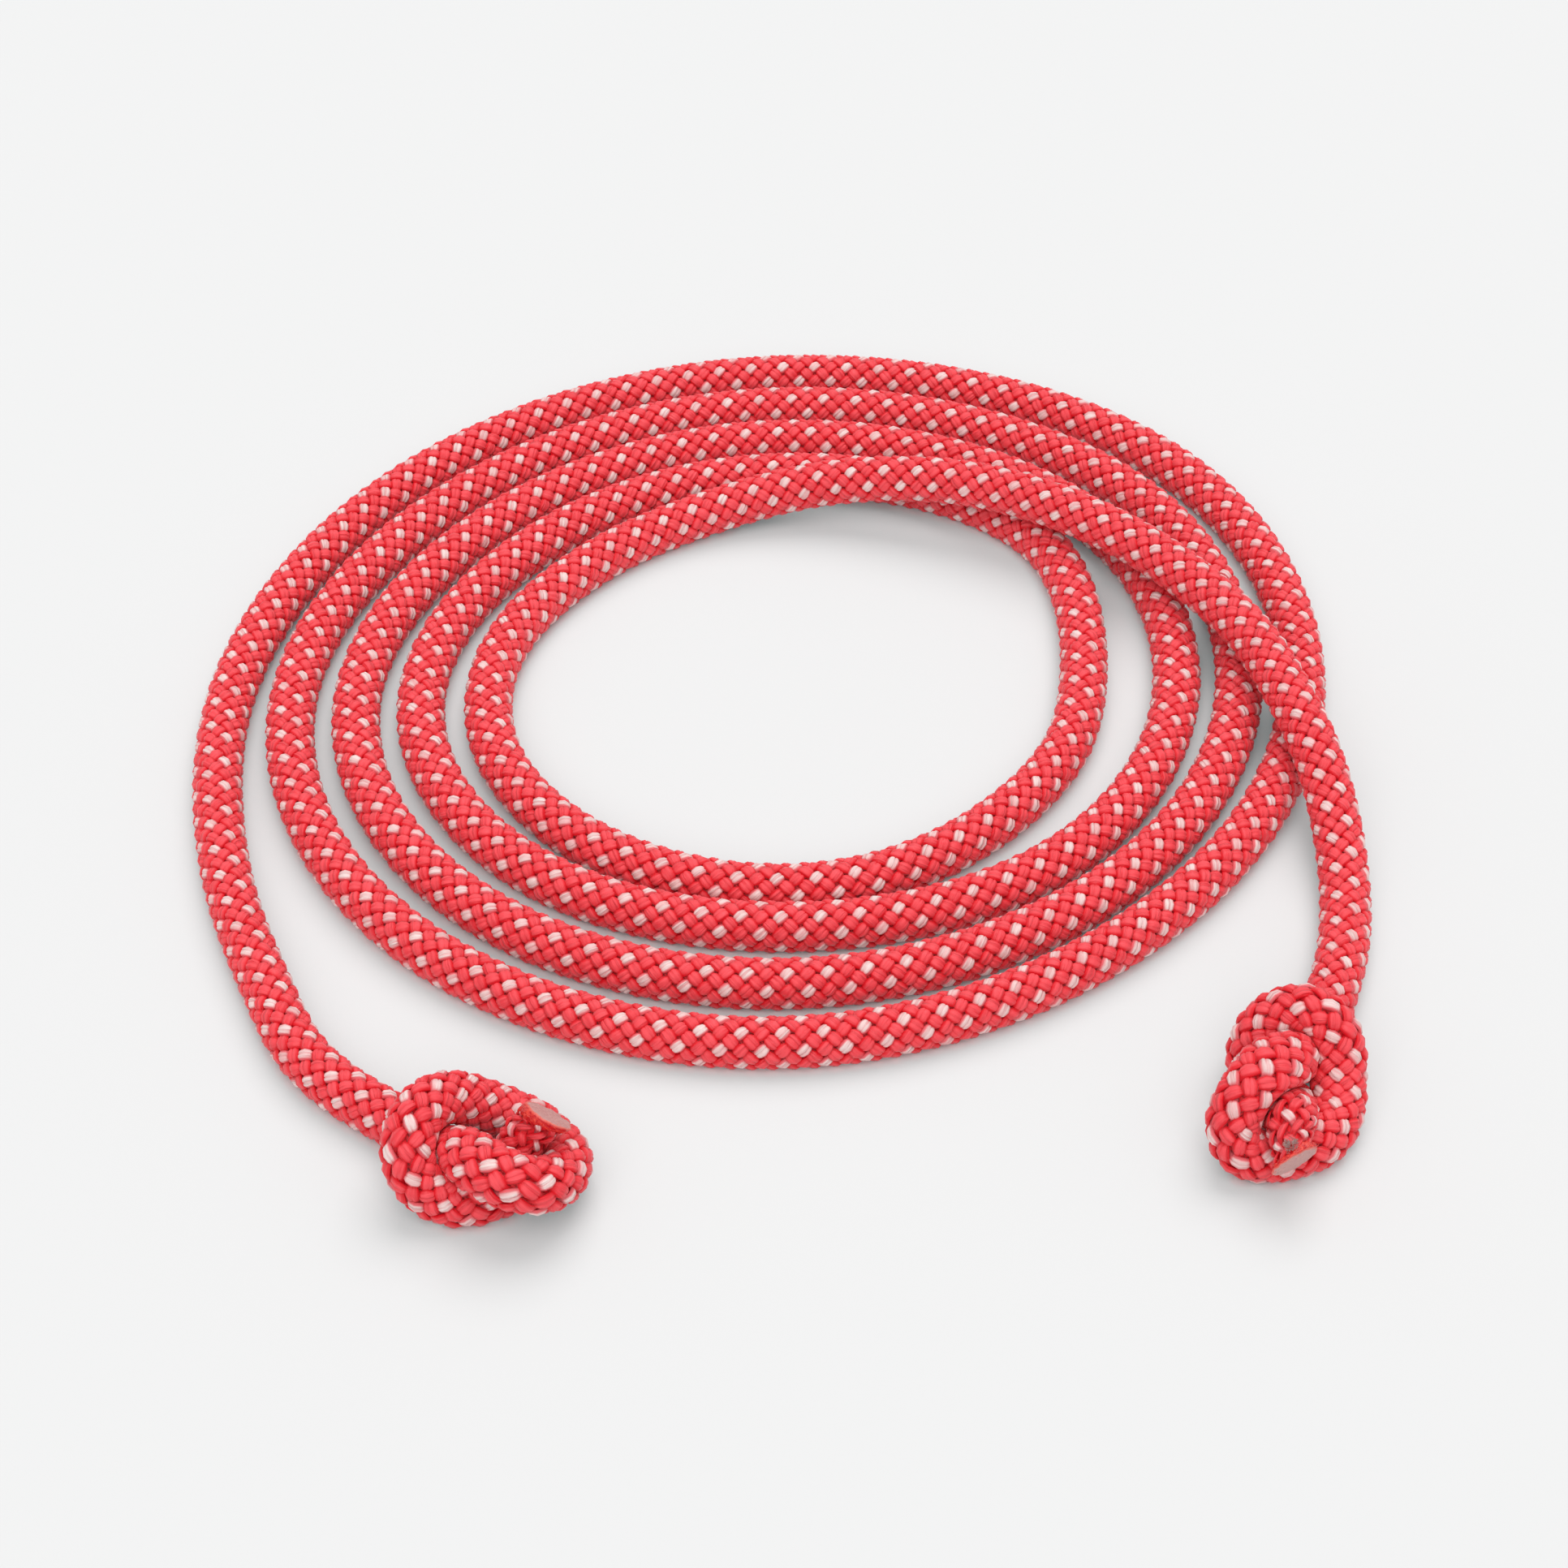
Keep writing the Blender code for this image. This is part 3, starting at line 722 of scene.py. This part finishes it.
FACE_SIDES = 56
FACE_STANDS = 0.45         # how far the face stands out of the yarns' ends
SKIN_STEP = 0.3            # how far back the skin's first and last rings lie
SKIN_SWELL = 0.3           # how far its first ring swells outward
SKIN_TUCK = 1.1            # how far its last ring goes in under the yarns
MELT_LUMPS = ((0.9, 0.32), (2.6, 0.16))   # how often they come, and how far they reach


def rows_to_world(end, points):
    """World places of points written across the cut (its slope, its level, its outward side)."""
    slope = unit(end.axis - (end.axis @ end.normal) * end.normal)
    across = np.array([slope, np.cross(end.normal, slope), end.normal])
    return end.middle + FACE_STANDS * end.normal + points @ across


def axis_in_cut(end):
    """The rope's direction at the cut, written across the cut."""
    across = end.axis @ end.normal
    return np.array([np.sqrt(1 - across**2), 0.0, across])


def add_fused_end(name, end, seed, collar, taper, drip, stands_for):
    """The melted face of a cut end, and the skin that dripped over the yarns."""
    chance = np.random.default_rng(seed)
    drips = drip * chance.random(FACE_SIDES)**3
    drips = (np.roll(drips, 1) + 3 * drips + np.roll(drips, -1)) / 5
    axis = axis_in_cut(end)
    shape = bmesh.new()
    melt = shape.verts.layers.float.new("melt")   # 0 on the face, 1 on the skin
    bmesh.ops.create_circle(shape, cap_ends=True, segments=FACE_SIDES, radius=end.face_radius)
    bmesh.ops.scale(shape, vec=(1 / axis[2], 1.0, 1.0), verts=shape.verts[:])
    edge = shape.edges[:]
    bmesh.ops.poke(shape, faces=shape.faces[:])
    for run, swell, share in ((SKIN_STEP, SKIN_SWELL, 0.0), (collar, -taper, 1.0),
                              (SKIN_STEP, -SKIN_TUCK, 0.0)):
        grown = bmesh.ops.extrude_edge_only(shape, edges=edge)["geom"]
        edge = [item for item in grown if isinstance(item, bmesh.types.BMEdge)
                and len(item.link_faces) == 1]
        for vertex in {corner for item in edge for corner in item.verts}:
            angle = np.arctan2(vertex.co.y, vertex.co.x)
            drop = drips[int(np.rint(angle / (2 * np.pi) * FACE_SIDES)) % FACE_SIDES]
            outward = Vector(np.array(vertex.co) - (np.array(vertex.co) @ axis) * axis)
            vertex.co += outward.normalized() * swell - Vector(axis) * (run + share * drop)
            vertex[melt] = 1.0
    bmesh.ops.holes_fill(shape, edges=edge, sides=0)
    noise.seed_set(seed)   # unseeded, this noise starts from the clock
    for vertex in shape.verts:
        for scale, reach in MELT_LUMPS:
            vertex.co += noise.noise_vector(vertex.co * scale + Vector((seed, 0, 0))) * reach
    bmesh.ops.recalc_face_normals(shape, faces=shape.faces)
    places = rows_to_world(end, np.array([vertex.co for vertex in shape.verts])) * MM
    for vertex, place in zip(shape.verts, places):
        vertex.co = place
    mesh = bpy.data.meshes.new(name)
    shape.to_mesh(mesh)
    shape.free()
    mesh.shade_smooth()
    piece = add_piece(name, mesh, [fused_sheath], stands_for)
    finish = piece.modifiers.new("smooth", "SUBSURF")
    finish.levels = finish.render_levels = 2
    return piece


FUZZ_RADIUS = 0.04
FUZZ_SHARES = (0.0, 0.4, 0.75, 1.0)   # where each fibre's points lie along it
FUZZ_TAPER = 0.6           # how much thinner it is at its tip
RIM_FUZZ_OUT = 0.1         # how far its roots lie outside the face
RIM_FUZZ_BACK = 1.6        # and, at most, back along the rope
RIM_FUZZ_LENGTH, RIM_FUZZ_MORE = 0.5, 0.9    # the least, and how much longer at most
SCUFF_RADIUS = 1.2
SCUFF_HEIGHT = 3.6         # out from the rope's middle
SCUFF_BACK = 1.5           # from the cut's middle, along the rope
SCUFF_ROUNDING = 0.12      # how fast its roots fall off, with the rope's own curve
SCUFF_LENGTH, SCUFF_MORE = 0.35, 0.4
SCUFF_SIDE = (-0.22, -0.42, 0.88)
SCUFF_ACROSS = (0.3, 1.0, 0.2)   # any direction that isn't the scuff's own


def add_fuzz(name, roots, directions, bends, material):
    """Loose fibres: thin curves from their roots, in the directions and with the bends given."""
    curve = bpy.data.curves.new(name, "CURVE")
    curve.dimensions = "3D"
    curve.bevel_depth = FUZZ_RADIUS * MM
    curve.bevel_resolution = 0
    curve.use_fill_caps = True
    for root, direction, bend in zip(roots, directions, bends):
        fibre = curve.splines.new("POLY")
        fibre.points.add(len(FUZZ_SHARES) - 1)
        for point, share in zip(fibre.points, FUZZ_SHARES):
            point.co = (*((root + share * direction + share**2 * bend) * MM), 1.0)
            point.radius = 1.0 - FUZZ_TAPER * share
    curve.materials.append(material)
    piece = bpy.data.objects.new(name, curve)
    bpy.context.scene.collection.objects.link(piece)
    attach(piece, "root")
    return piece


def add_rim_fuzz(name, end, count, seed):
    """Fibres that the cut left round the rim."""
    chance = np.random.default_rng(seed)
    angle = 2 * np.pi * chance.random(count)
    ring = np.stack([np.cos(angle), np.sin(angle), np.zeros(count)], axis=-1)
    back = axis_in_cut(end) * chance.random((count, 1)) * RIM_FUZZ_BACK
    local = ring * (end.face_radius + RIM_FUZZ_OUT) - back
    out = ring * 0.5 + 0.55 * (chance.random((count, 3)) - 0.5)
    lengths = RIM_FUZZ_LENGTH + RIM_FUZZ_MORE * chance.random((count, 1))
    directions = unit(out) * lengths
    bends = 0.8 * (chance.random((count, 3)) - 0.5)
    origin = rows_to_world(end, np.zeros((1, 3)))
    return add_fuzz(name, rows_to_world(end, local), rows_to_world(end, directions) - origin,
                    rows_to_world(end, bends) - origin, fuzz_red)


def add_scuff(name, middle, outward, count, seed):
    """A grey scuffed float: short fibres that stand out from it."""
    chance = np.random.default_rng(seed)
    side = unit(np.cross(outward, SCUFF_ACROSS))
    other = np.cross(outward, side)
    angle = 2 * np.pi * chance.random(count)
    reach = SCUFF_RADIUS * np.sqrt(chance.random(count))
    around = np.cos(angle)[:, None] * side + np.sin(angle)[:, None] * other
    roots = middle + reach[:, None] * around - SCUFF_ROUNDING * (reach**2)[:, None] * outward
    lean = outward + 0.7 * around + 0.8 * (chance.random((count, 3)) - 0.5)
    directions = unit(lean) * (SCUFF_LENGTH + SCUFF_MORE * chance.random((count, 1)))
    return add_fuzz(name, roots, directions, 0.5 * (chance.random((count, 3)) - 0.5), fuzz_grey)


left_cut, right_cut = cut_ends
left_end = add_fused_end("left_fused_end", left_cut, seed=3, collar=1.7, taper=0.1, drip=2.4,
                         stands_for=["sealed_end_left"])
right_end = add_fused_end("right_fused_end", right_cut, seed=8, collar=1.3, taper=0.6, drip=1.8,
                          stands_for=["sealed_end_right"])
left_fuzz = add_rim_fuzz("left_end_fuzz", left_cut, count=90, seed=4)
right_fuzz = add_rim_fuzz("right_end_fuzz", right_cut, count=90, seed=5)
scuff_way = unit(np.array(SCUFF_SIDE))
scuff_way = unit(scuff_way - (scuff_way @ right_cut.axis) * right_cut.axis)
scuff_middle = right_cut.middle - SCUFF_BACK * right_cut.axis + SCUFF_HEIGHT * scuff_way
scuff = add_scuff("scuffed_float", scuff_middle, scuff_way, count=300, seed=6)

# ---------------------------------------------------------------- floor and light

FLOOR_SIZE = 6.0
FLOOR_COLOUR = (0.77, 0.73, 0.73)       # with the floor's own glow it comes to a neutral pale grey
FLOOR_GLOW = (0.0, 0.05, 0.05)


def add_floor():
    """A level sheet under the part, without shine."""
    mesh = bpy.data.meshes.new("floor")
    half = FLOOR_SIZE / 2
    mesh.from_pydata([(-half, -half, 0), (half, -half, 0), (half, half, 0), (-half, half, 0)], [],
                     [(0, 1, 2, 3)])
    material, nodes, surface = new_material("pale_floor")
    nodes.fill(surface, Base_Color=FLOOR_COLOUR, Roughness=0.9, Specular_IOR_Level=0.0,
               Emission_Color=FLOOR_GLOW, Emission_Strength=1.0)
    mesh.materials.append(material)
    floor = bpy.data.objects.new("floor", mesh)
    bpy.context.scene.collection.objects.link(floor)


def add_sun(name, strength, angle, towards):
    """A distant soft light, as wide as the angle in degrees; towards is the way it shines."""
    data = bpy.data.lights.new(name, "SUN")
    data.energy = strength
    data.angle = np.radians(angle)
    light = bpy.data.objects.new(name, data)
    bpy.context.scene.collection.objects.link(light)
    light.rotation_mode = "QUATERNION"
    light.rotation_quaternion = Vector(towards).to_track_quat("-Z", "Y")


def add_world(strength, seen):
    """A plain white world that lights with one strength and is seen with another."""
    world = bpy.data.worlds.new("studio")
    world.use_nodes = True
    nodes = Nodes(world.node_tree)
    path = nodes.add("ShaderNodeLightPath")
    level = nodes.spread(path.outputs["Is Camera Ray"], 0.0, 1.0, strength, seen)
    nodes.fill(world.node_tree.nodes["Background"], Color=(1.0, 1.0, 1.0), Strength=level)
    bpy.context.scene.world = world


add_floor()
add_sun("key_light", strength=1.2, angle=50.0, towards=(-0.15, -0.45, -0.9))
add_sun("front_light", strength=1.1, angle=60.0, towards=(0.1, 0.62, -0.78))
add_world(strength=0.56, seen=0.9)
bpy.context.scene.view_settings.view_transform = "Standard"
